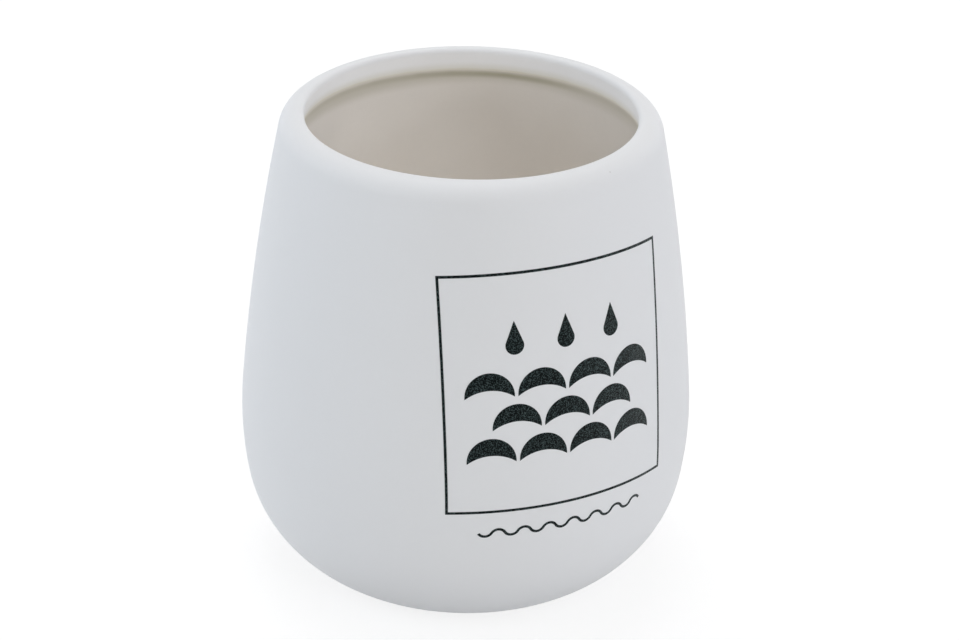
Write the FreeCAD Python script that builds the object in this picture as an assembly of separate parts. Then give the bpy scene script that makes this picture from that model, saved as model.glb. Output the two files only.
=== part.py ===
import FreeCAD, Part
import math
import os

from FreeCAD import Vector

# A cast ceramic tumbler for the bathroom: a fired body with a foot ring, a matt coat outside and
# over the lip, a glaze inside, and a print on the front. Lengths in mm, angles in degrees.
# The origin is on the axis in the plane that the foot ring stands on, +Z is up, and the print faces -Y.

# Outer form, to the surface of the coat
height = 100.0
widest_radius = 47.0
widest_height = 33.5
crest_radius = 34.3
lip_inner_radius = 1.0
flank_radius = 480.0
belly_radius = 77.0
belly_turn = 9.0
haunch_turn = 46.5
base_run = 20.5

# Wall, floor and foot
wall_thickness = 4.6
floor_thickness = 4.8
foot_height = 0.8
foot_width = 3.2
foot_round = 0.35
recess_height = 1.6

# Coat and glaze
coat_thickness = 0.4
coat_depth_inside = 5.04
glaze_thickness = 0.25

# Print: a square line that follows the surface as a flat transfer does, so its corners fall. The gaps
# over and under it are shares of the height.
print_width = 49.66
print_top_gap_share = 0.1593
print_bottom_gap_share = 0.3505
print_tilt = -0.335
top_corner_fall = 1.23
bottom_corner_fall = 0.82
frame_line = 0.55
frame_stroke_count = 8
ink_thickness = 0.1

# Running waves inside the square: rows of crescents, thick at the crown and pointed at the ends, with
# a row of drops over them. They fill the square but for these clearances to its line.
ornament_side_clearance = 3.8
ornament_top_clearance = 9.0
ornament_bottom_clearance = 10.2
lower_wave_count = 4
middle_wave_count = 3
upper_wave_count = 4
wave_gap = 0.7
wave_row_step_share = 0.235
wave_crown_share = 0.18
wave_hollow_share = 0.056
drop_count = 3
drop_length_share = 0.235
drop_width_share = 0.54

# Ripple under the square: one thin line of alternate arcs
ripple_arc_count = 14
ripple_inset = 6.6
ripple_rise = 0.75
ripple_line = 0.55
ripple_gap = 4.6

# How far cutting solids run past what they cut
overrun = 2.0


def at(centre, radius, angle):
    """The point of a circle in the plane of radius and height, with its angle in radians."""
    return (centre[0] + radius * math.cos(angle), centre[1] + radius * math.sin(angle))


def direction(start, end):
    return math.atan2(end[1] - start[1], end[0] - start[0])


def circles_meet(c0, r0, c1, r1):
    """The meeting point of two circles that lies nearer the axis, or beyond it."""
    apart = math.dist(c0, c1)
    along = (r0 ** 2 - r1 ** 2 + apart ** 2) / (2 * apart)
    aside = math.sqrt(r0 ** 2 - along ** 2)
    turn = direction(c0, c1)
    foot = at(c0, along, turn)
    return min(at(foot, aside, turn + math.pi / 2), at(foot, aside, turn - math.pi / 2))


def base_radii(radius, run, drop):
    """Radii of the two arcs that follow the belly down to a level tangent, run inwards and drop below."""
    first = math.radians(belly_turn)
    second = first + math.radians(haunch_turn)
    a, b = math.sin(second) - math.sin(first), 1 - math.sin(second)
    c, d = math.cos(first) - math.cos(second), math.cos(second)
    down = drop - radius * math.sin(first)
    inwards = run - radius * (1 - math.cos(first))
    whole = a * d - b * c
    return (down * d - b * inwards) / whole, (a * inwards - c * down) / whole


# The circles of the profile. The flank's circle holds the belly's circle and is tangent to it, and its
# parallel, one wall further in, touches the small circle of the inner lip. The outer lip closes the rest.
belly_centre = (widest_radius - belly_radius, widest_height)
inner_lip_centre = (crest_radius, height - lip_inner_radius)
flank_inner_radius = flank_radius - wall_thickness
flank_centre = circles_meet(belly_centre, flank_radius - belly_radius,
                            inner_lip_centre, flank_inner_radius + lip_inner_radius)
crest_across = crest_radius - flank_centre[0]
crest_above = height - flank_centre[1]
lip_outer_radius = ((flank_radius ** 2 - crest_across ** 2 - crest_above ** 2)
                    / (2 * (flank_radius - crest_above)))
outer_lip_centre = (crest_radius, height - lip_outer_radius)
foot_radius = widest_radius - base_run
floor_height = recess_height + floor_thickness

# The print between its gaps, and the ornament inside its line
print_height = height * (1 - print_top_gap_share - print_bottom_gap_share)
print_centre_height = height * print_bottom_gap_share + print_height / 2
ornament_width = print_width - 2 * (frame_line + ornament_side_clearance)
ornament_height = print_height - 2 * frame_line - ornament_top_clearance - ornament_bottom_clearance
ornament_bottom = frame_line + ornament_bottom_clearance - print_height / 2
wave_pitch = (ornament_width + wave_gap) / max(lower_wave_count, middle_wave_count, upper_wave_count)
wave_row_step = wave_row_step_share * ornament_height
drop_length = drop_length_share * ornament_height
drop_radius = drop_width_share * drop_length / 2
ripple_chord = (print_width - 2 * ripple_inset) / ripple_arc_count

UP = math.pi / 2
flank_to_lip = direction(flank_centre, outer_lip_centre)
flank_to_inner_lip = direction(flank_centre, inner_lip_centre)
flank_to_belly = direction(flank_centre, belly_centre)
belly_end = -math.radians(belly_turn)
haunch_end = belly_end - math.radians(haunch_turn)
coat_end_height = height - coat_depth_inside
coat_end = math.asin((coat_end_height - flank_centre[1]) / flank_inner_radius)


def base_arcs(belly, run, drop):
    """Belly below the flank, haunch and heel, as (centre, radius, from angle, to angle)."""
    haunch, heel = base_radii(belly, run, drop)
    haunch_centre = at(belly_centre, belly - haunch, belly_end)
    heel_centre = at(haunch_centre, haunch - heel, haunch_end)
    return [(belly_centre, belly, flank_to_belly, belly_end),
            (haunch_centre, haunch, belly_end, haunch_end),
            (heel_centre, heel, haunch_end, -UP)]


def outer_arcs(inset):
    """The outside from the crest down to the foot, moved into the wall by inset."""
    arcs = [(outer_lip_centre, lip_outer_radius, UP, flank_to_lip),
            (flank_centre, flank_radius, flank_to_lip, flank_to_belly)]
    arcs += base_arcs(belly_radius, base_run, widest_height - foot_height)
    return [(centre, radius - inset, start, end) for centre, radius, start, end in arcs]


def inner_lip_arcs(inset):
    """The inside from the crest down to the coat's lower edge."""
    return [(inner_lip_centre, lip_inner_radius - inset, UP, flank_to_inner_lip + math.pi),
            (flank_centre, flank_inner_radius + inset, flank_to_inner_lip, coat_end)]


def inner_wall_arcs(inset):
    """The inside from the coat's lower edge down to the level floor."""
    arcs = [(flank_centre, flank_inner_radius, coat_end, flank_to_belly)]
    arcs += base_arcs(belly_radius - wall_thickness, base_run - wall_thickness,
                      widest_height - floor_height)
    return [(centre, radius + inset, start, end) for centre, radius, start, end in arcs]


def in_section(point):
    return Vector(point[0], 0, point[1])


def arc_edges(arcs):
    return [Part.Arc(*(in_section(at(centre, radius, angle))
                       for angle in (start, (start + end) / 2, end))).toShape()
            for centre, radius, start, end in arcs]


def line_edges(*points):
    return [Part.LineSegment(in_section(a), in_section(b)).toShape() for a, b in zip(points, points[1:])]


def first_point(arcs):
    centre, radius, start, end = arcs[0]
    return at(centre, radius, start)


def last_point(arcs):
    centre, radius, start, end = arcs[-1]
    return at(centre, radius, end)


def turned_solid(edges):
    """The solid of revolution of a closed section."""
    wire = Part.Wire(Part.__sortEdges__(edges))
    return Part.Face(wire).revolve(Vector(0, 0, 0), Vector(0, 0, 1), 360)


def ceramic_body():
    """The fired clay, under coat and glaze everywhere but on its foot ring and in the recess."""
    outside = outer_arcs(coat_thickness)
    inside = inner_lip_arcs(coat_thickness) + inner_wall_arcs(coat_thickness)
    floor_edge = last_point(inside)
    ring_inner_radius = foot_radius - foot_width
    edges = arc_edges(outside) + arc_edges(inside)
    edges += line_edges(last_point(outside), (foot_radius, foot_round))
    edges += arc_edges([((foot_radius - foot_round, foot_round), foot_round, 0, -UP)])
    edges += line_edges((foot_radius - foot_round, 0), (ring_inner_radius + foot_round, 0))
    edges += arc_edges([((ring_inner_radius + foot_round, foot_round), foot_round, -UP, -math.pi)])
    edges += line_edges((ring_inner_radius, foot_round), (ring_inner_radius, recess_height),
                        (0, recess_height), (0, floor_edge[1]), floor_edge)
    return turned_solid(edges)


def outer_coat():
    """The matt coat: outside, over the lip and down to its lower edge inside the mouth."""
    surface = outer_arcs(0) + inner_lip_arcs(0)
    backing = outer_arcs(coat_thickness) + inner_lip_arcs(coat_thickness)
    edges = arc_edges(surface) + arc_edges(backing)
    edges += line_edges(last_point(outer_arcs(0)), last_point(outer_arcs(coat_thickness)))
    edges += line_edges(last_point(surface), last_point(backing))
    return turned_solid(edges)


def inner_glaze():
    """The glaze: from the coat's lower edge down the wall and over the floor."""
    surface = inner_wall_arcs(coat_thickness - glaze_thickness)
    backing = inner_wall_arcs(coat_thickness)
    edges = arc_edges(surface) + arc_edges(backing)
    edges += line_edges(first_point(surface), first_point(backing))
    edges += line_edges(last_point(surface), (0, last_point(surface)[1]), (0, last_point(backing)[1]),
                        last_point(backing))
    return turned_solid(edges)


def ink_film():
    """A film of ink all round the flank, belly and haunch, from which each printed shape is cut."""
    bare = outer_arcs(0)[1:4]
    inked = outer_arcs(-ink_thickness)[1:4]
    edges = arc_edges(bare) + arc_edges(inked)
    edges += line_edges(first_point(bare), first_point(inked))
    edges += line_edges(last_point(bare), last_point(inked))
    return turned_solid(edges)


def radius_at(z):
    """The radius of the coat's surface at a height between the haunch's end and the lip."""
    for centre, radius, start, end in outer_arcs(0)[1:4]:
        if z >= at(centre, radius, end)[1]:
            return centre[0] + math.sqrt(radius ** 2 - (z - centre[1]) ** 2)


def on_front(place):
    """A place on the transfer, (across, up) from its middle, seen square on from the front."""
    across, up = place
    share = 0.5 + up / print_height
    fall = bottom_corner_fall + (top_corner_fall - bottom_corner_fall) * share
    z = (print_centre_height + up + across * math.tan(math.radians(print_tilt))
         - fall * (across / (print_width / 2)) ** 2)
    radius = radius_at(z)
    return Vector(radius * math.sin(across / radius), -widest_radius - overrun, z)


def printed(film, *outlines):
    """The part of the film inside the first outline and outside the others. An outline is a list of
    strokes, and a stroke its two ends, or its two ends with a point between them for an arc."""
    faces = []
    for outline in outlines:
        edges = []
        for stroke in outline:
            points = [on_front(place) for place in stroke]
            make = Part.Arc if len(points) == 3 else Part.LineSegment
            edges.append(make(*points).toShape())
        faces.append(Part.Face(Part.Wire(edges)))
    block = faces[0].extrude(Vector(0, widest_radius, 0))
    for hole in faces[1:]:
        block = block.cut(hole.extrude(Vector(0, widest_radius, 0)))
    return film.common(block).Solids


def square(width, tall):
    """A square's outline in short straight strokes, so that each side follows the surface."""
    x, y = width / 2, tall / 2
    corners = [(-x, y), (x, y), (x, -y), (-x, -y), (-x, y)]
    strokes = []
    for start, end in zip(corners, corners[1:]):
        step = ((end[0] - start[0]) / frame_stroke_count, (end[1] - start[1]) / frame_stroke_count)
        places = [(start[0] + step[0] * i, start[1] + step[1] * i) for i in range(frame_stroke_count + 1)]
        strokes += zip(places, places[1:])
    return strokes


def print_frame(film):
    """The thin square line."""
    return printed(film, square(print_width, print_height),
                   square(print_width - 2 * frame_line, print_height - 2 * frame_line))


def print_waves(film, row, count):
    """One row of crescents on a common base, the rows counted from the lowest."""
    base = ornament_bottom + row * wave_row_step
    crown_height, hollow_height = wave_crown_share * ornament_height, wave_hollow_share * ornament_height
    half = (wave_pitch - wave_gap) / 2
    solids = []
    for i in range(count):
        middle = (i - (count - 1) / 2) * wave_pitch
        left, right = (middle - half, base), (middle + half, base)
        crown, hollow = (middle, base + crown_height), (middle, base + hollow_height)
        solids += printed(film, [[left, crown, right], [right, hollow, left]])
    return solids


def print_drops(film):
    """A row of drops: each a round below and two straight sides that meet in a point above."""
    point_height = ornament_bottom + ornament_height
    solids = []
    for i in range(drop_count):
        tip = ((i - (drop_count - 1) / 2) * wave_pitch, point_height)
        middle = (tip[0], point_height - drop_length + drop_radius)
        turn = math.asin(drop_radius / (drop_length - drop_radius))
        right, left = at(middle, drop_radius, turn), at(middle, drop_radius, math.pi - turn)
        bottom = at(middle, drop_radius, -UP)
        solids += printed(film, [[tip, right], [right, bottom, left], [left, tip]])
    return solids


def print_ripple(film):
    """One thin line of alternate arcs under the square, tangent where they meet."""
    half = ripple_chord / 2
    radius = (half ** 2 + ripple_rise ** 2) / (2 * ripple_rise)
    opening = math.asin(half / radius)
    level = -print_height / 2 - ripple_gap
    upper, lower = [], []
    for i in range(ripple_arc_count):
        middle = (i - (ripple_arc_count - 1) / 2) * ripple_chord
        side = 1 if i % 2 else -1
        centre = (middle, level - side * (radius - ripple_rise))
        for edge, offset in ((upper, ripple_line / 2), (lower, -ripple_line / 2)):
            edge.append([at(centre, radius + side * offset, side * (UP + turn))
                         for turn in (opening, 0, -opening)])
    strokes = upper + [[upper[-1][2], lower[-1][2]]]
    strokes += [stroke[::-1] for stroke in lower[::-1]] + [[lower[0][0], upper[0][0]]]
    return printed(film, strokes)


def save(node, solids):
    shape = solids[0] if len(solids) == 1 else Part.makeCompound(solids)
    shape.exportStep("parts/" + node + ".step")
    print(node, len(solids), "solids,", round(shape.Volume, 3), "mm3, valid", shape.isValid())


os.makedirs("parts", exist_ok=True)
save("ceramic_body", [ceramic_body()])
save("outer_coat", [outer_coat()])
save("inner_glaze", [inner_glaze()])
ink = ink_film()
save("print_frame", print_frame(ink))
save("print_wave_lower", print_waves(ink, 0, lower_wave_count))
save("print_wave_middle", print_waves(ink, 1, middle_wave_count))
save("print_wave_upper", print_waves(ink, 2, upper_wave_count))
save("print_drops", print_drops(ink))
save("print_ripple", print_ripple(ink))
print("outer lip radius", round(lip_outer_radius, 3), "inner radius at the coat's edge",
      round(at(flank_centre, flank_inner_radius, coat_end)[0], 3))
print("base arcs outside", [round(arc[1], 2) for arc in outer_arcs(0)[2:]],
      "inside", [round(arc[1], 2) for arc in inner_wall_arcs(0)[1:]])
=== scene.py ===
import math

import bmesh
import bpy
import numpy as np
from mathutils import Matrix, Vector


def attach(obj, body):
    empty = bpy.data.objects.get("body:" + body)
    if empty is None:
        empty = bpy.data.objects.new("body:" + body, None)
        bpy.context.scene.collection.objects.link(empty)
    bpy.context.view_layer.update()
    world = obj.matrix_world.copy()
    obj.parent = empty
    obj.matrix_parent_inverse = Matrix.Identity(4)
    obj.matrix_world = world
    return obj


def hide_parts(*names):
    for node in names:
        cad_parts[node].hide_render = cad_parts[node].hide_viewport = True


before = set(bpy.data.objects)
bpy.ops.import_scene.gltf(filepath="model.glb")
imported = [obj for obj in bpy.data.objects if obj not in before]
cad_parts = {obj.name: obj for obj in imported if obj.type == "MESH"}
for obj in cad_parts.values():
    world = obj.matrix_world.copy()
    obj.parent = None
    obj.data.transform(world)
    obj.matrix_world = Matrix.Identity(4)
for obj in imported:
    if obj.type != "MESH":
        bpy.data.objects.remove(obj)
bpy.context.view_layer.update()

# Sizes in metres, the same as the solids have. The axis of the cup is Z, it stands on the plane z = 0,
# and its print faces -Y.
HEIGHT = 0.100
WIDEST_RADIUS, WIDEST_HEIGHT = 0.047, 0.0335
CREST_RADIUS, LIP_INNER_RADIUS = 0.0343, 0.001
FLANK_RADIUS, BELLY_RADIUS = 0.480, 0.077
BELLY_TURN, HAUNCH_TURN = math.radians(9.0), math.radians(46.5)
BASE_RUN = 0.0205
WALL, FLOOR = 0.0046, 0.0048
FOOT_HEIGHT, RECESS_HEIGHT = 0.0008, 0.0016
COAT, COAT_DEPTH_INSIDE, GLAZE = 0.0004, 0.00504, 0.00025
COAT_END_HEIGHT = HEIGHT - COAT_DEPTH_INSIDE
EDGE_ROUND, EDGE_WAVER, EDGE_REACH = 0.00012, 0.00007, 0.0016

PRINT_WIDTH = 0.04966
TOP_GAP_SHARE, BOTTOM_GAP_SHARE = 0.1593, 0.3505
PRINT_HEIGHT = HEIGHT * (1 - TOP_GAP_SHARE - BOTTOM_GAP_SHARE)
PRINT_MIDDLE = HEIGHT * BOTTOM_GAP_SHARE + PRINT_HEIGHT / 2
PRINT_SLOPE = math.tan(math.radians(-0.335))
TOP_FALL, BOTTOM_FALL = 0.00123, 0.00082
FRAME_LINE = 0.00055
ORNAMENT_SIDE, ORNAMENT_TOP, ORNAMENT_BOTTOM = 0.0038, 0.0090, 0.0102
WAVE_COUNTS, WAVE_GAP = (4, 3, 4), 0.0007
ROW_STEP_SHARE, WAVE_CROWN_SHARE, WAVE_HOLLOW_SHARE = 0.235, 0.18, 0.056
DROP_COUNT, DROP_LENGTH_SHARE, DROP_WIDTH_SHARE = 3, 0.235, 0.54
RIPPLE_ARCS, RIPPLE_INSET, RIPPLE_RISE = 14, 0.0066, 0.00075
RIPPLE_LINE, RIPPLE_GAP = 0.00055, 0.0046
INK, INK_SINK = 0.00004, 0.00003

# How finely the surfaces are divided, the distances under which two points count as one, and the fold
# from which an edge stays sharp
AROUND = 240
LONGEST_STEP, WIDEST_BEND = 0.0011, math.radians(2.2)
EDGE_POINTS, FLOOR_POINTS = 7, 24
SQUARE_STEPS, BOW_POINTS, RIPPLE_STEPS = 40, 49, 12
DROP_SIDE_POINTS, DROP_ROUND_POINTS = 20, 40
SAME_POINT, NO_LENGTH = 1e-7, 1e-8
SHARP_FOLD = math.radians(40)
RIGHT_ANGLE = math.pi / 2

# The coat's colour, how far every noise is spread, and the share of a speck's radius that is full
COAT_WHITE = (0.838, 0.842, 0.851)
NOISE_SPREAD, SPECK_CORE = 2.6, 0.55

# The stage, in metres and degrees. CAMERA_SIDE is where the camera stands, about the cup from -Y.
CAMERA_SIDE, CAMERA_PLACE = -25.9, (-0.20231, -0.41669, 0.29140)
CAMERA_TURN, CAMERA_DIP, CAMERA_ROLL = -26.22, 27.237, 1.312
FOCAL_PIXELS, PICTURE_PIXELS, SENSOR_WIDTH = 2509, 960, 36.0
STAGE_LEVEL, STAGE_HALF = -0.00003, 3.0
PAPER_TONE, PAPER_SEEN, PAPER_GLOW = 0.75, 0.30, 0.78
LAMP_DISTANCE, LAMP_SIZE = 1.25, 0.8
FILL_PLACE, FILL_AIM, FILL_SIZE = (0, 0, 0.014), (-0.027, 0.013, HEIGHT), 0.050


# The turned profile, as circles in the plane of radius and height

def at(centre, radius, angle):
    """Centre plus radius times the cosine and the sine of the angle."""
    return (centre[0] + radius * math.cos(angle), centre[1] + radius * math.sin(angle))


def direction(start, end):
    """The angle of the way from start to end: the arc tangent of its rise over its run."""
    return math.atan2(end[1] - start[1], end[0] - start[0])


def circles_meet(c0, r0, c1, r1):
    """The meeting point of two circles that lies nearer the axis, or beyond it: along the line of centres
    by the radii's squares, less each other, plus the distance squared, over twice the distance, and then
    square to that line."""
    apart = math.dist(c0, c1)
    along = (r0 ** 2 - r1 ** 2 + apart ** 2) / (2 * apart)
    aside = math.sqrt(r0 ** 2 - along ** 2)
    turn = direction(c0, c1)
    foot = at(c0, along, turn)
    return min(at(foot, aside, turn + RIGHT_ANGLE), at(foot, aside, turn - RIGHT_ANGLE))


def base_radii(radius, run, drop):
    """Radii of the two arcs that follow the belly to a level tangent, run inwards and drop below: the
    two linear equations for run and drop, solved for them."""
    first, second = BELLY_TURN, BELLY_TURN + HAUNCH_TURN
    rows = [[math.cos(first) - math.cos(second), math.cos(second)],
            [math.sin(second) - math.sin(first), 1 - math.sin(second)]]
    return np.linalg.solve(rows, [run - radius * (1 - math.cos(first)), drop - radius * math.sin(first)])


belly_centre = (WIDEST_RADIUS - BELLY_RADIUS, WIDEST_HEIGHT)
inner_lip_centre = (CREST_RADIUS, HEIGHT - LIP_INNER_RADIUS)
flank_inner = FLANK_RADIUS - WALL
flank_centre = circles_meet(belly_centre, FLANK_RADIUS - BELLY_RADIUS,
                            inner_lip_centre, flank_inner + LIP_INNER_RADIUS)
crest_across, crest_above = CREST_RADIUS - flank_centre[0], HEIGHT - flank_centre[1]
lip_outer = ((FLANK_RADIUS ** 2 - crest_across ** 2 - crest_above ** 2)
             / (2 * (FLANK_RADIUS - crest_above)))
outer_lip_centre = (CREST_RADIUS, HEIGHT - lip_outer)
foot_radius = WIDEST_RADIUS - BASE_RUN
flank_to_lip = direction(flank_centre, outer_lip_centre)
flank_to_inner_lip = direction(flank_centre, inner_lip_centre)
flank_to_belly = direction(flank_centre, belly_centre)
belly_end, haunch_end = -BELLY_TURN, -BELLY_TURN - HAUNCH_TURN
coat_end = math.asin((COAT_END_HEIGHT - flank_centre[1]) / flank_inner)
coat_edge = at(flank_centre, flank_inner, coat_end)


def base_arcs(belly, run, drop):
    """Belly, haunch and heel as centre, radius, start and end. Each circle touches the one before from
    inside, so its centre lies the two radii's difference from the last centre, towards their meeting."""
    haunch, heel = base_radii(belly, run, drop)
    haunch_centre = at(belly_centre, belly - haunch, belly_end)
    heel_centre = at(haunch_centre, haunch - heel, haunch_end)
    return [(belly_centre, belly, flank_to_belly, belly_end),
            (haunch_centre, haunch, belly_end, haunch_end),
            (heel_centre, heel, haunch_end, -RIGHT_ANGLE)]


outside_arcs = ([(outer_lip_centre, lip_outer, RIGHT_ANGLE, flank_to_lip),
                 (flank_centre, FLANK_RADIUS, flank_to_lip, flank_to_belly)]
                + base_arcs(BELLY_RADIUS, BASE_RUN, WIDEST_HEIGHT - FOOT_HEIGHT))
inner_lip_arcs = [(inner_lip_centre, LIP_INNER_RADIUS, RIGHT_ANGLE, flank_to_inner_lip + math.pi),
                  (flank_centre, -flank_inner, flank_to_inner_lip + math.pi, coat_end + math.pi)]
inside_arcs = [(centre, -radius, start + math.pi, end + math.pi) for centre, radius, start, end in
               [(flank_centre, flank_inner, coat_end, flank_to_belly)]
               + base_arcs(BELLY_RADIUS - WALL, BASE_RUN - WALL, WIDEST_HEIGHT - RECESS_HEIGHT - FLOOR)]


def run_of(arcs, inset):
    """Points (radius, height) along arcs moved into the wall by inset: each arc's centre plus its radius
    less the inset times the cosine and sine of an even run of angles."""
    runs = []
    for centre, radius, start, end in arcs:
        turn = abs(end - start)
        steps = int(max(turn / WIDEST_BEND, abs(radius) * turn / LONGEST_STEP)) + 2
        angle = np.linspace(start, end, steps + 1)
        runs.append(np.column_stack([centre[0] + (radius - inset) * np.cos(angle),
                                     centre[1] + (radius - inset) * np.sin(angle)]))
    points = np.concatenate(runs)
    return points[np.r_[True, np.linalg.norm(np.diff(points, axis=0), axis=1) > NO_LENGTH]]


# Meshes

def make_piece(name, points, faces, finish, slot, *nodes):
    """A mesh object of the points and faces, its doubles merged and its faces turned outwards, that
    rides on the cup and stands for the named nodes."""
    mesh = bpy.data.meshes.new(name)
    mesh.from_pydata(points.tolist(), [], faces.tolist())
    form = bmesh.new()
    form.from_mesh(mesh)
    bmesh.ops.remove_doubles(form, verts=form.verts, dist=SAME_POINT)
    bmesh.ops.dissolve_degenerate(form, edges=form.edges, dist=NO_LENGTH)
    bmesh.ops.recalc_face_normals(form, faces=form.faces)
    form.to_mesh(mesh)
    form.free()
    mesh.shade_smooth()
    mesh.set_sharp_from_angle(angle=SHARP_FOLD)
    mesh.materials.append(finish)
    piece = bpy.data.objects.new(name, mesh)
    bpy.context.scene.collection.objects.link(piece)
    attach(piece, "root")
    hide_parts(*nodes)


def grid_faces(rows, columns, closed):
    """The quads of a grid of points, numbered row by row. Each row closes on itself, and where closed is
    true the last row joins the first."""
    i = np.arange(rows if closed else rows - 1)[:, None]
    j = np.arange(columns)[None, :]
    i1, j1 = (i + 1) % rows, (j + 1) % columns
    quads = np.stack([i * columns + j, i * columns + j1, i1 * columns + j1, i1 * columns + j], axis=-1)
    return quads.reshape(-1, 4)


def waver(angle):
    """How far the coat's lower edge strays down the wall: a few slow waves round the mouth, added up."""
    return EDGE_WAVER * (0.5 * np.sin(2 * angle + 0.6) + 0.35 * np.sin(5 * angle + 2.1)
                         + 0.3 * np.sin(11 * angle + 4.0) + 0.2 * np.sin(23 * angle + 1.3))


def near_edge(section):
    """Share of the wavering for each point: whole at the coat's lower edge, none from its reach on, and
    between them three times the square of the nearness less twice its cube."""
    near = np.clip(1 - np.linalg.norm(section - coat_edge, axis=1) / EDGE_REACH, 0, 1)
    return near ** 2 * (3 - 2 * near)


def turned(section):
    """A closed section turned about Z: radius times the cosine and sine of the angle, and the height, which
    each point's share of the wavering lowers, while its radius follows the wall's slope there."""
    angle = np.linspace(0, 2 * math.pi, AROUND, endpoint=False)
    lower = near_edge(section)[:, None] * waver(angle)
    radius = section[:, :1] + lower * math.tan(coat_end)
    points = np.stack([radius * np.cos(angle), radius * np.sin(angle), section[:, 1:] - lower], axis=-1)
    return points.reshape(-1, 3), grid_faces(len(section), AROUND, True)


def rounded_edge(run, inset):
    """The end of a run turned into the wall by a quarter circle, its centre less the cosine of the turn
    inwards and plus the sine downwards, and on to the inset. Points too near to it are left out."""
    down = run[-1] - run[-2]
    down /= np.linalg.norm(down)
    into = np.array([-down[1], down[0]])
    keep = run[(run - run[-1]) @ down < -EDGE_ROUND * 1.05]
    turn = np.linspace(0, RIGHT_ANGLE, EDGE_POINTS)[:, None]
    centre = run[-1] - down * EDGE_ROUND + into * EDGE_ROUND
    corner = centre - into * EDGE_ROUND * np.cos(turn) + down * EDGE_ROUND * np.sin(turn)
    return np.concatenate([keep, corner, [run[-1] + into * inset]])


def coat_section():
    """Up the outside from the foot, over the lip, down to the edge inside, and back one coat further in."""
    outside = run_of(outside_arcs, 0)[::-1]
    inside = rounded_edge(run_of(inner_lip_arcs, 0), COAT)
    back = run_of(inner_lip_arcs, COAT)[::-1]
    return np.concatenate([outside, inside[1:], back[1:], run_of(outside_arcs, COAT)[1:]])


def glaze_section():
    """Down the wall from the coat's edge, over the floor to the axis, and back along the clay."""
    front = run_of(inside_arcs, COAT - GLAZE)
    back = run_of(inside_arcs, COAT)[::-1]
    inwards = np.linspace(1, 0, FLOOR_POINTS)[1:, None]
    floor = np.column_stack([front[-1, 0] * inwards, np.full_like(inwards, front[-1, 1])])
    return np.concatenate([front, floor, [[0, back[0, 1]]], back])


# The print, laid on the coat

def on_coat(place, lift):
    """A place on the transfer, across and up from its middle, as a point on the coat: its height falls
    off with the square of across, the surface's radius is there, across runs along that circle, and the
    point is lifted along the surface's normal."""
    across, up = place[..., 0], place[..., 1]
    share = 0.5 + up / PRINT_HEIGHT
    fall = BOTTOM_FALL + (TOP_FALL - BOTTOM_FALL) * share
    z = PRINT_MIDDLE + up + across * PRINT_SLOPE - fall * (across / (PRINT_WIDTH / 2)) ** 2
    arcs = outside_arcs[1:4]
    above = [z >= at(centre, size, end)[1] for centre, size, _, end in arcs]
    parts = [np.sqrt(np.maximum(size ** 2 - (z - centre[1]) ** 2, 0)) for centre, size, _, _ in arcs]
    radius = np.select(above, [centre[0] + part for (centre, *_), part in zip(arcs, parts)])
    outwards = np.select(above, [part / size for (_, size, *_), part in zip(arcs, parts)])
    upwards = np.select(above, [(z - centre[1]) / size for centre, size, _, _ in arcs])
    turn = across / radius
    far = radius + lift * outwards
    return np.stack([far * np.sin(turn), -far * np.cos(turn), z + lift * upwards], axis=-1)


def film(sides, breadth=6, closed=False):
    """A film of ink between two lines of places: each cross-section runs straight from one to the other
    on the film's face, by even shares, and back on its underside, a hair inside the coat."""
    first, second = (np.asarray(side) for side in sides)
    share = np.linspace(0, 1, breadth + 1)[None, :, None]
    places = first[:, None] * (1 - share) + second[:, None] * share
    rings = np.concatenate([on_coat(places, INK), on_coat(places, -INK_SINK)[:, ::-1]], axis=1)
    rows, columns = rings.shape[:2]
    faces = grid_faces(rows, columns, closed)
    if not closed:
        j = np.arange(breadth)
        cap = np.stack([j, j + 1, columns - 2 - j, columns - 1 - j], axis=-1)
        faces = np.concatenate([faces, cap[:, ::-1], cap + (rows - 1) * columns])
    return rings.reshape(-1, 3), faces


def joined(films):
    """Several films as one set of points and faces."""
    counts = np.cumsum([0] + [len(points) for points, _ in films])
    return (np.concatenate([points for points, _ in films]),
            np.concatenate([faces + start for (_, faces), start in zip(films, counts)]))


def bow(middle, base, half, rise):
    """An arc through both ends of a level chord and a point the rise above its middle: its radius is half
    the chord squared plus the rise squared, over twice the rise."""
    radius = (half ** 2 + rise ** 2) / (2 * rise)
    sweep = 2 * math.atan(rise / half)
    angle = np.linspace(-sweep, sweep, BOW_POINTS)
    return np.column_stack([middle + radius * np.sin(angle),
                            base + rise - radius + radius * np.cos(angle)])


ornament_height = PRINT_HEIGHT - 2 * FRAME_LINE - ORNAMENT_TOP - ORNAMENT_BOTTOM
ornament_base = FRAME_LINE + ORNAMENT_BOTTOM - PRINT_HEIGHT / 2
wave_pitch = (PRINT_WIDTH - 2 * (FRAME_LINE + ORNAMENT_SIDE) + WAVE_GAP) / max(WAVE_COUNTS)
drop_length = DROP_LENGTH_SHARE * ornament_height
drop_radius = DROP_WIDTH_SHARE * drop_length / 2


def frame_film():
    """A square line: the outer and the inner square, each side divided evenly."""
    squares = []
    for inset in (0, FRAME_LINE):
        x, y = PRINT_WIDTH / 2 - inset, PRINT_HEIGHT / 2 - inset
        corners = np.array([(-x, y), (x, y), (x, -y), (-x, -y), (-x, y)])
        share = np.arange(0, 4, 1 / SQUARE_STEPS)
        squares.append(np.column_stack([np.interp(share, np.arange(5), corners[:, k]) for k in (0, 1)]))
    return film(squares, breadth=2, closed=True)


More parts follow.
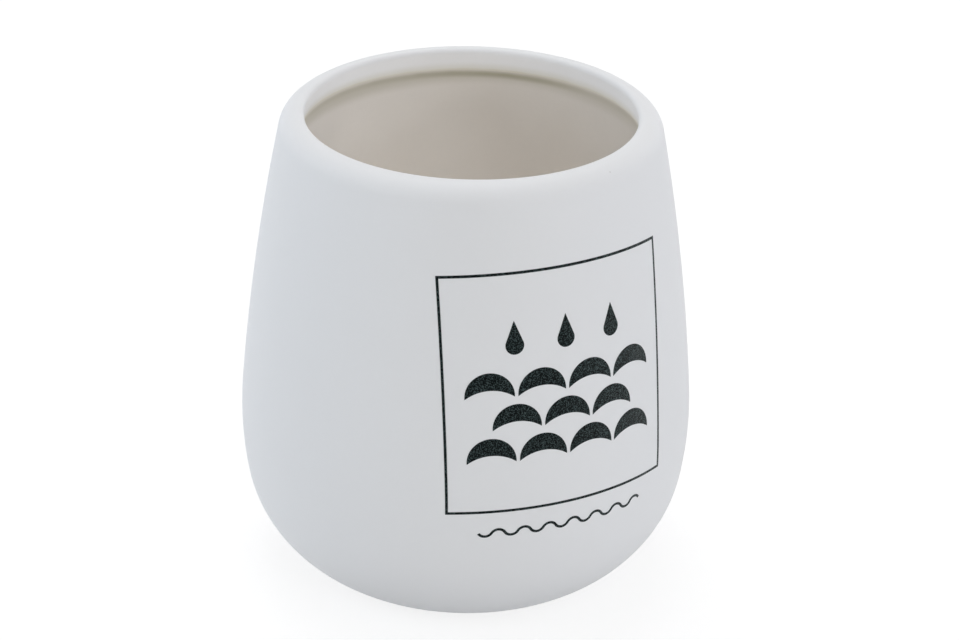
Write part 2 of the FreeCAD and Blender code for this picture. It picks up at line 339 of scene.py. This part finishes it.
def wave_films(row, count):
    """A row of crescents, each between a high bow and a low one on the same chord."""
    base = ornament_base + row * ROW_STEP_SHARE * ornament_height
    half = (wave_pitch - WAVE_GAP) / 2
    return joined([film((bow(middle, base, half, WAVE_HOLLOW_SHARE * ornament_height),
                         bow(middle, base, half, WAVE_CROWN_SHARE * ornament_height)))
                   for middle in (np.arange(count) - (count - 1) / 2) * wave_pitch])


def drop_films():
    """A row of drops: a straight side from the point down to a round that it touches, where the angle's
    sine is the radius over the point's distance from the centre, and the same mirrored."""
    top = ornament_base + ornament_height
    centre = top - drop_length + drop_radius
    turn = math.asin(drop_radius / (drop_length - drop_radius))
    angle = np.linspace(turn, -RIGHT_ANGLE, DROP_ROUND_POINTS)
    side = np.column_stack([drop_radius * np.cos(angle), centre + drop_radius * np.sin(angle)])
    share = np.linspace(0, 1, DROP_SIDE_POINTS)[:-1, None]
    side = np.concatenate([np.array([0, top]) * (1 - share) + side[0] * share, side])
    return joined([film((side * (-1, 1) + (middle, 0), side + (middle, 0)), breadth=10)
                   for middle in (np.arange(DROP_COUNT) - (DROP_COUNT - 1) / 2) * wave_pitch])


def ripple_film():
    """A thin line of alternate arcs, crown up and crown down: each circle's centre plus its radius, which
    is half the line's width longer on one side of the line and shorter on the other."""
    half = (PRINT_WIDTH - 2 * RIPPLE_INSET) / RIPPLE_ARCS / 2
    radius = (half ** 2 + RIPPLE_RISE ** 2) / (2 * RIPPLE_RISE)
    opening = math.asin(half / radius)
    arc = np.repeat(np.arange(RIPPLE_ARCS), RIPPLE_STEPS)
    angle = np.tile(np.linspace(-opening, opening, RIPPLE_STEPS + 1)[:-1], RIPPLE_ARCS)
    arc, angle = np.append(arc, RIPPLE_ARCS - 1), np.append(angle, opening)
    side = np.where(arc % 2 == 1, 1.0, -1.0)
    middle = (arc - (RIPPLE_ARCS - 1) / 2) * 2 * half
    level = -PRINT_HEIGHT / 2 - RIPPLE_GAP - side * (radius - RIPPLE_RISE)
    lines = [np.column_stack([middle + (radius + side * offset) * np.sin(angle),
                              level + side * (radius + side * offset) * np.cos(angle)])
             for offset in (-RIPPLE_LINE / 2, RIPPLE_LINE / 2)]
    return film(lines, breadth=2)


# Materials

class Value:
    """A number carried by a socket. Arithmetic on it adds Math nodes."""

    def __init__(self, finish, socket):
        self.finish, self.socket = finish, socket

    def maths(self, operation, *values):
        """A Math node's result from the values, each a number, a socket or a Value."""
        made = self.finish.node("Math", {"operation": operation}, list(values))
        return Value(self.finish, made.outputs[0])

    def __add__(self, other): return self.maths("ADD", self, other)
    def __radd__(self, other): return self.maths("ADD", other, self)
    def __sub__(self, other): return self.maths("SUBTRACT", self, other)
    def __rsub__(self, other): return self.maths("SUBTRACT", other, self)
    def __mul__(self, other): return self.maths("MULTIPLY", self, other)
    def __rmul__(self, other): return self.maths("MULTIPLY", other, self)
    def __pow__(self, other): return self.maths("POWER", self, other)
    def __rpow__(self, other): return self.maths("POWER", other, self)

    def ramp(self, low, high):
        """0 up to low, 1 from high on, and a smooth rise between. It falls where low is over high."""
        node = self.finish.node("MapRange", {"interpolation_type": "SMOOTHSTEP"},
                                {"Value": self, "From Min": min(low, high), "From Max": max(low, high),
                                 "To Min": float(low > high), "To Max": float(low < high)})
        return Value(self.finish, node.outputs[0])


class Finish:
    """A material under the pen: its node tree, its surface shader and its coordinates."""

    def __init__(self, name, **constants):
        self.material = bpy.data.materials.new(name)
        self.material.use_nodes = True
        self.nodes, self.links = self.material.node_tree.nodes, self.material.node_tree.links
        self.shader = self.nodes["Principled BSDF"]
        for socket, value in constants.items():
            self.shader.inputs[socket.replace("_", " ")].default_value = value
        self.place = self.node("TexCoord").outputs["Object"]
        split = self.node("SeparateXYZ", {}, [self.place])
        self.x, self.y, self.z = (Value(self, split.outputs[k]) for k in range(3))

    def node(self, kind, settings=None, sockets=None):
        """A node of the given type: its settings first, then the value or link of each socket."""
        made = self.nodes.new("ShaderNode" + kind)
        for key, value in (settings or {}).items():
            setattr(made, key, value)
        pairs = enumerate(sockets) if isinstance(sockets, list) else (sockets or {}).items()
        for key, value in pairs:
            self.put(made.inputs[key], value)
        return made

    def put(self, socket, value):
        """A link into the socket, or the socket's own value."""
        if isinstance(value, Value):
            value = value.socket
        if isinstance(value, bpy.types.NodeSocket):
            self.links.new(value, socket)
        else:
            socket.default_value = value

    def from_axis(self):
        """Distance from the cup's axis: the root of x squared plus y squared."""
        return (self.x * self.x + self.y * self.y) ** 0.5

    def noise(self, size, detail, rough=0.5):
        """Fractal noise about 0, spread to about -1 to 1, whose coarsest patches are about size metres."""
        made = self.node("TexNoise", {"noise_dimensions": "3D"},
                         {"Vector": self.place, "Scale": 1 / size, "Detail": detail, "Roughness": rough})
        return (Value(self, made.outputs["Fac"]) - 0.5) * NOISE_SPREAD

    def specks(self, spacing, size):
        """1 in small spots of the given radius, few and far between: near the feature points of a cell
        pattern as wide as the spacing, where the surface cuts through them."""
        made = self.node("TexVoronoi", {"feature": "F1"}, {"Vector": self.place, "Scale": 1 / spacing})
        return (Value(self, made.outputs["Distance"]) * spacing).ramp(size, size * SPECK_CORE)

    def colour(self, share, first, second):
        """A colour that goes from the first to the second with the share."""
        made = self.node("Mix", {"data_type": "RGBA"},
                         {0: share, 6: self.opaque(first), 7: self.opaque(second)})
        return made.outputs[2]

    @staticmethod
    def opaque(colour):
        """A written colour with its alpha of 1, and a link as it is."""
        return (*colour, 1.0) if isinstance(colour, tuple) and len(colour) == 3 else colour

    def scaled(self, colour, factor):
        """A colour times a number."""
        return self.node("VectorMath", {"operation": "SCALE"}, {0: colour, "Scale": factor}).outputs[0]

    def relief(self, height, depth):
        """A bump of the height's pattern, whose full swing is depth in metres."""
        return self.node("Bump", {}, {"Strength": 1.0, "Distance": depth, "Height": height}).outputs[0]

    def finish(self, **sockets):
        """The material, once the surface shader's sockets have their values."""
        for socket, value in sockets.items():
            self.put(self.shader.inputs[socket.replace("_", " ")], value)
        return self.material


def matt_white_coat():
    """Sprayed matt white: slow unevenness of tone, a fine grain, a few pale pinholes, and a thinner, warmer
    and darker stretch where it runs out inside the mouth, partly the coat thinning over the glaze and
    partly painted shade and warm bounce light from the glaze."""
    coat = Finish("matt_white_coat", IOR=1.46)
    inside = (coat.from_axis().ramp(CREST_RADIUS + 0.0002, CREST_RADIUS - 0.0003)
              * coat.z.ramp(0.080, 0.088))
    slow = coat.noise(0.030, 1.0)
    over = coat.z - COAT_END_HEIGHT + coat.noise(0.005, 1.0) * 0.00015
    # painted shade and warm bounce light: the band inside the mouth darkens and warms towards the coat's
    # lower edge, partly the coat thinning there
    thin = inside * (over.ramp(0.0023, 0.0002) * 0.5 + over.ramp(0.0007, 0.0) * 0.5)
    grain = coat.noise(0.0007, 3.0)
    tone = 1 + slow * 0.008 + grain * 0.006
    pinhole = coat.specks(0.017, 0.00020)
    # the band's warm, darker colour: partly thinner coat over the glaze, partly painted shade and bounce
    # light
    body = coat.colour(thin * (0.9 + slow * 0.1), COAT_WHITE, (0.63, 0.60, 0.495))
    body = coat.colour(pinhole * 0.35, coat.scaled(body, tone), (0.30, 0.28, 0.25))
    height = grain * 0.35 + coat.noise(0.004, 2.0) * 0.5 - pinhole * 4.0
    return coat.finish(Base_Color=body, Roughness=0.62 + slow * 0.03 + grain * 0.03,
                       Normal=coat.relief(height, 0.000004))


def greige_glaze():
    """Satin greige glaze: slow clouds and fine mottling, and painted shade that makes it darker low down,
    to the camera's right and at both sides. Under the coat's edge runs a still darker olive line, partly
    glaze pooled there and partly painted shade under the edge, which is narrow in the middle, wide and soft
    to the camera's left and faint to its right. Across runs to the camera's right."""
    glaze = Finish("greige_glaze", IOR=1.5)
    slow, cloud, fine = glaze.noise(0.022, 1.5), glaze.noise(0.006, 2.0), glaze.noise(0.0009, 3.0)
    below = COAT_END_HEIGHT - glaze.z + slow * 0.00012 + cloud * 0.0001
    across = glaze.x * 0.9 - glaze.y * 0.44
    wide, faint = across.ramp(0.012, -0.030), across.ramp(0.010, 0.028)
    # the olive line under the coat's edge: partly glaze pooled there, partly painted shade under the edge;
    # wider to the camera's left, fainter to its right
    core = below.ramp(0.0022, 0.0010) * (0.60 - wide * 0.42 - faint * 0.42)
    tail = ((below - wide * 0.0012 - faint * 0.0008).ramp(0.0038, 0.0008)
            * (0.38 + wide * 0.10 - faint * 0.06))
    line = (core + tail) * (0.35 + below.ramp(0.0, 0.0008) * 0.65)
    # painted shade: darker to the camera's right and low down in the cup, over random clouds
    clouds_and_painted_shade = 0.33 + slow * 0.45 + across * 15 + glaze.z.ramp(0.088, 0.064) * 0.45
    body = glaze.colour(clouds_and_painted_shade, (0.752, 0.720, 0.683), (0.635, 0.600, 0.555))
    # painted shade: darker at both sides of the view and low down in the cup
    aside, low = (across * across).ramp(0.00042, 0.00110), glaze.z.ramp(0.075, 0.060)
    body = glaze.scaled(body, 1 - aside * 0.07 - low * 0.04 + cloud * 0.012 + fine * 0.010)
    # mixes in the olive line, partly pooled glaze and partly painted shade
    body = glaze.colour(line * (0.95 + cloud * 0.1), body, (0.37, 0.35, 0.26))
    speck = glaze.specks(0.012, 0.00018)
    body = glaze.colour(speck * 0.6, body, (0.20, 0.17, 0.12))
    return glaze.finish(Base_Color=body, Roughness=0.30 + cloud * 0.03,
                        Normal=glaze.relief(cloud * 0.6 + fine * 0.15, 0.000008))


def fired_clay():
    """Bare fired clay: warm cream with sandy grain and dark iron specks, and a breath of the coat's white
    at the top of the foot ring's outer side."""
    clay = Finish("fired_clay", IOR=1.45)
    slow, grain, grit = clay.noise(0.008, 2.0), clay.noise(0.0006, 4.0, 0.6), clay.noise(0.0002, 2.0)
    body = clay.colour(0.5 + slow * 0.5, (0.70, 0.645, 0.56), (0.64, 0.575, 0.48))
    body = clay.scaled(body, 1 + grain * 0.05)
    iron = clay.specks(0.0024, 0.00016)
    body = clay.colour(iron * 0.7, body, (0.20, 0.12, 0.07))
    spray = (clay.z + grain * 0.0001).ramp(0.00045, 0.0007)
    ring = clay.from_axis().ramp(foot_radius - 0.001, foot_radius - 0.0004)
    body = clay.colour(spray * ring * 0.8, body, COAT_WHITE)
    return clay.finish(Base_Color=body, Roughness=0.82 + grain * 0.06,
                       Normal=clay.relief(grain + grit * 0.4, 0.00003))


def print_ink():
    """Fired screen ink: dark charcoal with a fine grain of lighter, bluish points and a soft sheen."""
    ink = Finish("print_ink", IOR=1.5, Specular_Tint=(0.03, 0.03, 0.03, 1.0))
    grain, fleck, slow = ink.noise(0.0006, 1.0), ink.noise(0.00022, 0.0), ink.noise(0.006, 1.0)
    body = ink.colour(grain.ramp(-0.7, 0.8), (0.001, 0.002, 0.002), (0.004, 0.007, 0.007))
    body = ink.colour(fleck.ramp(-0.1, 0.45), body, (0.052, 0.073, 0.073))
    return ink.finish(Base_Color=ink.scaled(body, 1 + slow * 0.15), Roughness=0.42 - fleck * 0.10,
                      Normal=ink.relief(grain * 0.5 + fleck, 0.00003))


white, greige, clay, ink = matt_white_coat(), greige_glaze(), fired_clay(), print_ink()

make_piece("coat", *turned(coat_section()), white, "matt_white_coat", "outer_coat")
make_piece("glaze", *turned(glaze_section()), greige, "greige_glaze", "inner_glaze")
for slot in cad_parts["ceramic_body"].material_slots:
    slot.material = clay

make_piece("square_line", *frame_film(), ink, "print_ink", "print_frame")
for row, (node, count) in enumerate(zip(("print_wave_lower", "print_wave_middle", "print_wave_upper"),
                                        WAVE_COUNTS)):
    make_piece(node.replace("print_wave", "waves"), *wave_films(row, count), ink, "print_ink", node)
make_piece("drops", *drop_films(), ink, "print_ink", "print_drops")
make_piece("ripple", *ripple_film(), ink, "print_ink", "print_ripple")


# Floor, light and camera

def backdrop_white():
    """Pale paper. The camera and mirror rays see it white, as a faint lit colour plus a glow."""
    paper = Finish("floor_paper", Roughness=0.9, Specular_IOR_Level=0.0)
    rays = paper.node("LightPath")
    seen = Value(paper, rays.outputs["Is Camera Ray"])
    for kind in ("Is Glossy Ray", "Is Transmission Ray"):
        seen = seen.maths("MAXIMUM", seen, rays.outputs[kind])
    paper.finish(Base_Color=paper.colour(seen, (PAPER_TONE,) * 3, (PAPER_SEEN,) * 3))
    glowing = paper.node("Emission", {}, {"Color": (1.0, 1.0, 1.0, 1.0), "Strength": seen * PAPER_GLOW})
    both = paper.node("AddShader", {}, [paper.shader.outputs[0], glowing.outputs[0]])
    paper.links.new(both.outputs[0], paper.nodes["Material Output"].inputs["Surface"])
    return paper.material


def stage_floor():
    """A flat square sheet, its corners plus and minus half its side."""
    corners = [(x * STAGE_HALF, y * STAGE_HALF, STAGE_LEVEL)
               for x, y in ((-1, -1), (1, -1), (1, 1), (-1, 1))]
    mesh = bpy.data.meshes.new("floor")
    mesh.from_pydata(corners, [], [(0, 1, 2, 3)])
    mesh.materials.append(backdrop_white())
    floor = bpy.data.objects.new("floor", mesh)
    bpy.context.scene.collection.objects.link(floor)


def world_light(level):
    """Even, slightly warm light from all round at the level, and plain white behind the object."""
    world = bpy.data.worlds.new("studio")
    world.use_nodes = True
    bpy.context.scene.world = world
    nodes, links = world.node_tree.nodes, world.node_tree.links
    rays = nodes.new("ShaderNodeLightPath")
    around, behind = nodes.new("ShaderNodeBackground"), nodes.new("ShaderNodeBackground")
    around.inputs["Color"].default_value = (1.0, 0.97, 0.95, 1.0)
    around.inputs["Strength"].default_value = level
    behind.inputs["Color"].default_value = (1.0, 1.0, 1.0, 1.0)
    shown = around.outputs[0]
    for kind in ("Is Camera Ray", "Is Glossy Ray", "Is Transmission Ray"):
        both = nodes.new("ShaderNodeMixShader")
        links.new(rays.outputs[kind], both.inputs[0])
        links.new(shown, both.inputs[1])
        links.new(behind.outputs[0], both.inputs[2])
        shown = both.outputs[0]
    links.new(shown, nodes["World Output"].inputs["Surface"])


def light_box(name, place, aim, shape, size, power, colour=(1.0, 1.0, 1.0)):
    """A soft box at a place, facing the aim."""
    light = bpy.data.lights.new(name, "AREA")
    light.shape, light.size, light.energy, light.color = shape, size, power, colour
    box = bpy.data.objects.new(name, light)
    bpy.context.scene.collection.objects.link(box)
    box.location = place
    box.rotation_euler = (Vector(place) - Vector(aim)).to_track_quat("Z", "Y").to_euler()
    return box


def lamp(name, around, above, power, colour=(1.0, 1.0, 1.0)):
    """A square box at the lamps' distance from the cup: around is its angle in degrees about the cup, from
    the camera's side and to its right, and above its angle over the floor. Its place is the distance times
    the cosines and sines of both."""
    turn, lift = math.radians(around - 90 + CAMERA_SIDE), math.radians(above)
    out, up = LAMP_DISTANCE * math.cos(lift), LAMP_DISTANCE * math.sin(lift)
    light_box(name, (out * math.cos(turn), out * math.sin(turn), HEIGHT / 2 + up),
              (0, 0, HEIGHT / 2), "SQUARE", LAMP_SIZE, power, colour)


def cup_fill(power):
    """A small disc low in the cup that faces up, a little to the camera's left, and evens out the light
    inside. No camera or mirror ray shows it."""
    disc = light_box("cup_fill", FILL_PLACE, FILL_AIM, "DISK", FILL_SIZE, power)
    disc.visible_camera = disc.visible_glossy = False


stage_floor()
world_light(0.292)
lamp("left_box", -86, 19, 4.33, (0.77, 0.87, 1.0))
lamp("front_left_box", -50, 8, 2.26, (0.95, 1.0, 1.0))
lamp("right_front_box", 45, 20, 5.15, (0.96, 0.98, 1.0))
lamp("right_box", 90, 20, 1.38, (0.72, 0.81, 1.0))
lamp("right_back_box", 142, 16, 0.95, (0.95, 0.98, 1.0))
lamp("back_box", 180, 42, 1.2, (0.95, 1.0, 1.0))
lamp("top_left_box", -135, 70, 2.1)
lamp("top_back_box", 180, 70, 3.54)
cup_fill(0.0190)

camera = bpy.data.cameras.new("camera")
camera.lens, camera.sensor_width = FOCAL_PIXELS / PICTURE_PIXELS * SENSOR_WIDTH, SENSOR_WIDTH
camera.clip_start, camera.clip_end = 0.01, 50.0
viewer = bpy.data.objects.new("camera", camera)
bpy.context.scene.collection.objects.link(viewer)
viewer.matrix_world = (Matrix.Translation(CAMERA_PLACE)
                       @ Matrix.Rotation(math.radians(CAMERA_TURN), 4, "Z")
                       @ Matrix.Rotation(math.radians(90 - CAMERA_DIP), 4, "X")
                       @ Matrix.Rotation(math.radians(CAMERA_ROLL), 4, "Z"))
bpy.context.scene.camera = viewer
bpy.context.scene.view_settings.view_transform = "Standard"
